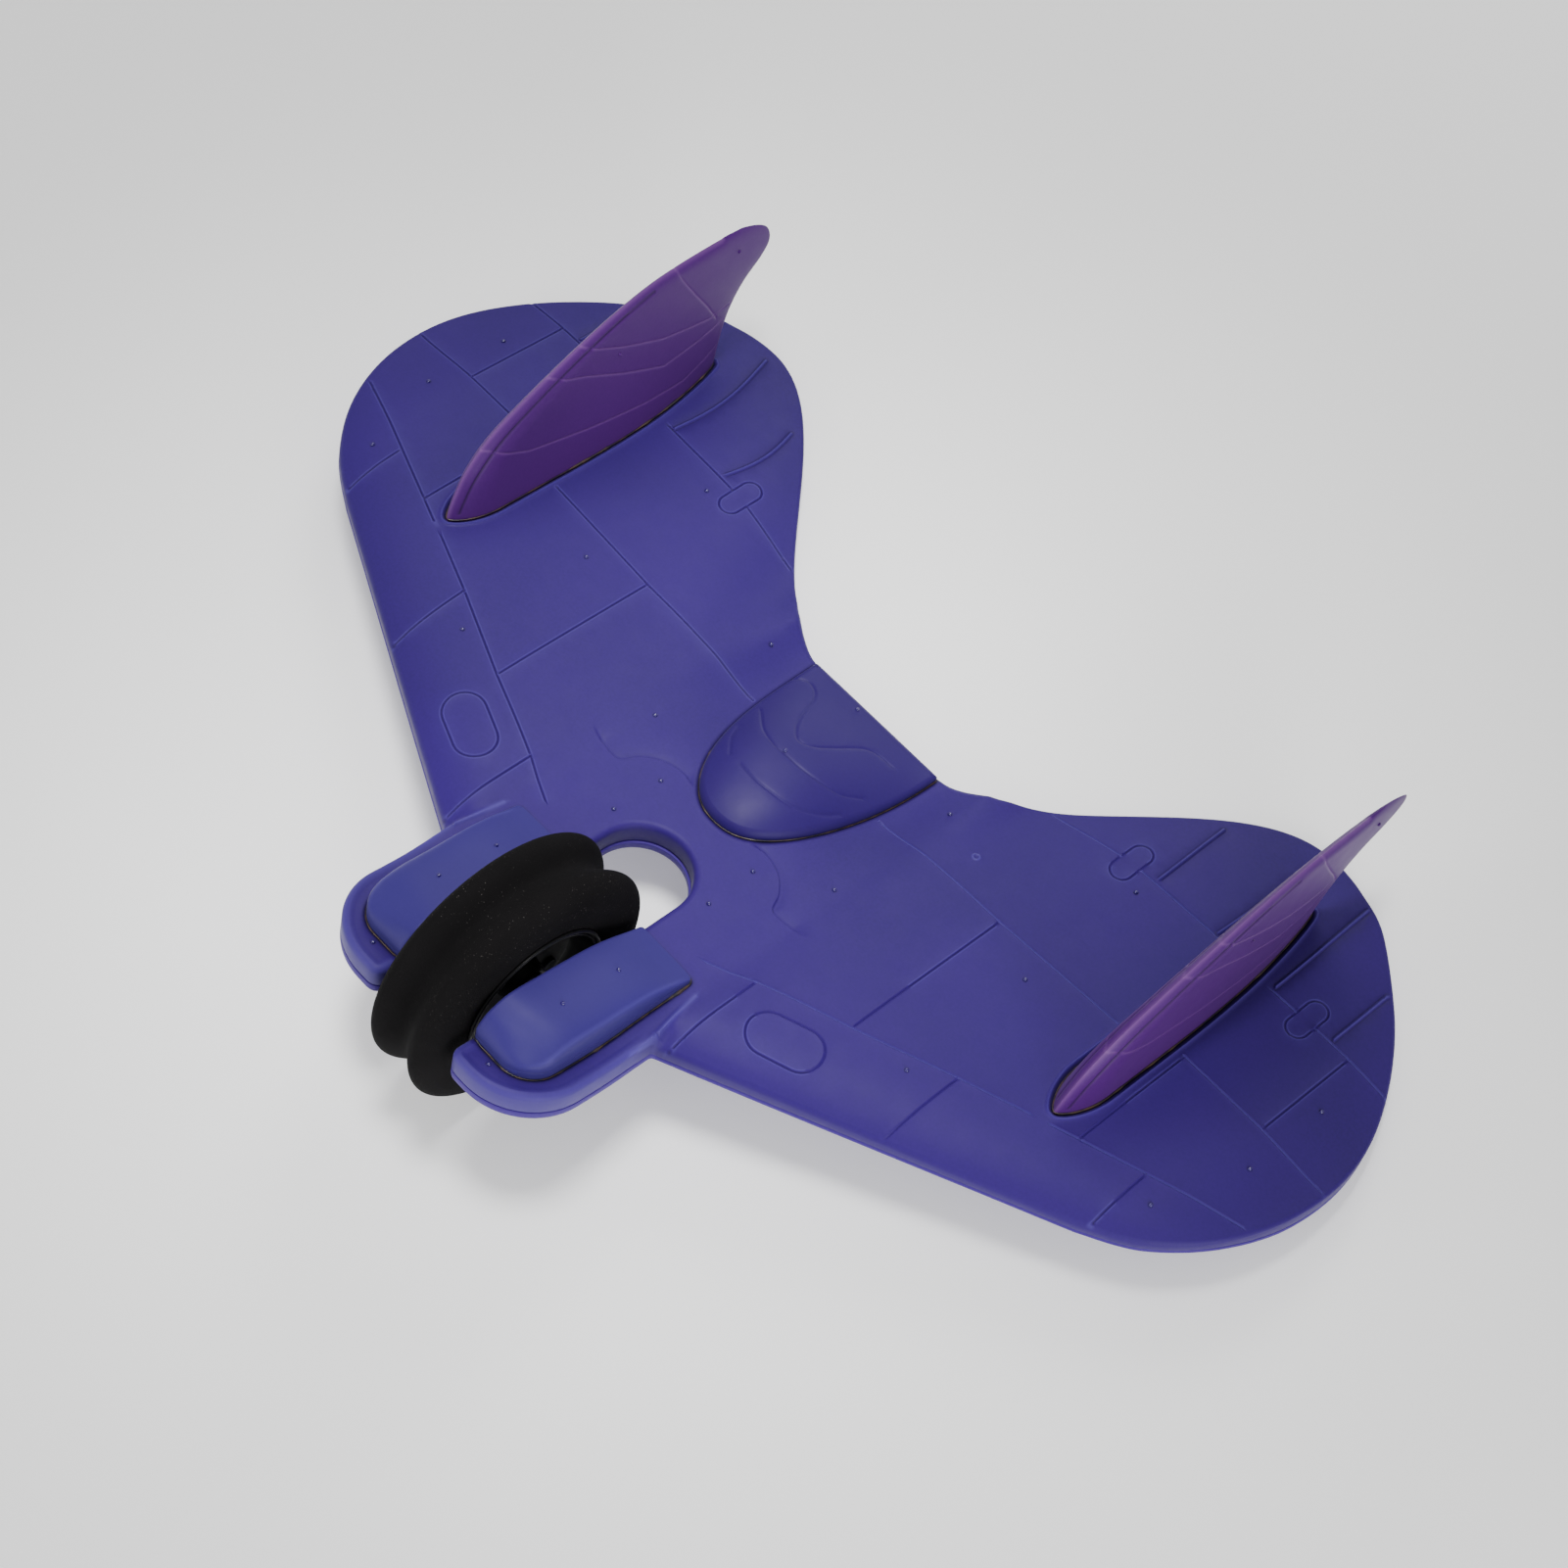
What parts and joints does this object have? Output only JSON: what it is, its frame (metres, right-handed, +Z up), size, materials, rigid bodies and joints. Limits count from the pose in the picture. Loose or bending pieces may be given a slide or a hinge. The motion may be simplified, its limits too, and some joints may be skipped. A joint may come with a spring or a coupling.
{
  "type": "foam flying-wing board with nose wheel",
  "caption": "Swept flying-wing board of moulded foam with upright fins, a tail fairing, raised nose pads and a soft grooved nose wheel in a slot.",
  "frame": {"origin": "centre of the object's footprint on the floor, as it rests on the wheel and the rear of both wings", "axes": "+X across the span towards the board's left wing, -Y towards the nose, +Z up from the floor; the board is pitched 12.5 degrees nose-up"},
  "size_m": [0.4804, 0.3194, 0.1009],
  "materials": {
    "deck_foam": "satin skin of moulded foam",
    "hull_foam": "satin skin of moulded foam",
    "fairing_foam": "satin skin of moulded foam",
    "fin_foam": "satin skin of moulded foam",
    "pad_foam": "satin skin of moulded foam",
    "tyre_foam": "matt fine-celled foam",
    "hub_plastic": "gloss",
    "bushing_plastic": "satin",
    "block_plastic": "satin",
    "spacer_plastic": "satin",
    "axle_steel": "black oxide",
    "screw_steel": "black oxide"
  },
  "bodies": {
    "board": {"deck_shell": "deck_foam", "hull_shell": "hull_foam", "tail_fairing": "fairing_foam", "left_fin": "fin_foam", "right_fin": "fin_foam", "left_pad": "pad_foam", "right_pad": "pad_foam", "left_axle_block": "block_plastic", "right_axle_block": "block_plastic", "left_front_block_screw": "screw_steel", "right_front_block_screw": "screw_steel", "left_rear_block_screw": "screw_steel", "right_rear_block_screw": "screw_steel", "axle": "axle_steel", "left_axle_spacer": "spacer_plastic", "right_axle_spacer": "spacer_plastic"},
    "wheel": {"tyre": "tyre_foam", "left_hub_half": "hub_plastic", "right_hub_half": "hub_plastic", "left_hub_bushing": "bushing_plastic", "right_hub_bushing": "bushing_plastic", "hub_screw_1": "screw_steel", "hub_screw_2": "screw_steel", "hub_screw_3": "screw_steel"}
  },
  "joints": [
    {"name": "wheel_spin", "type": "hinge", "parent": "board", "child": "wheel", "pos_m": [0, -0.10929, 0.05043], "axis": [1, 0, 0], "continuous": true}
  ]
}
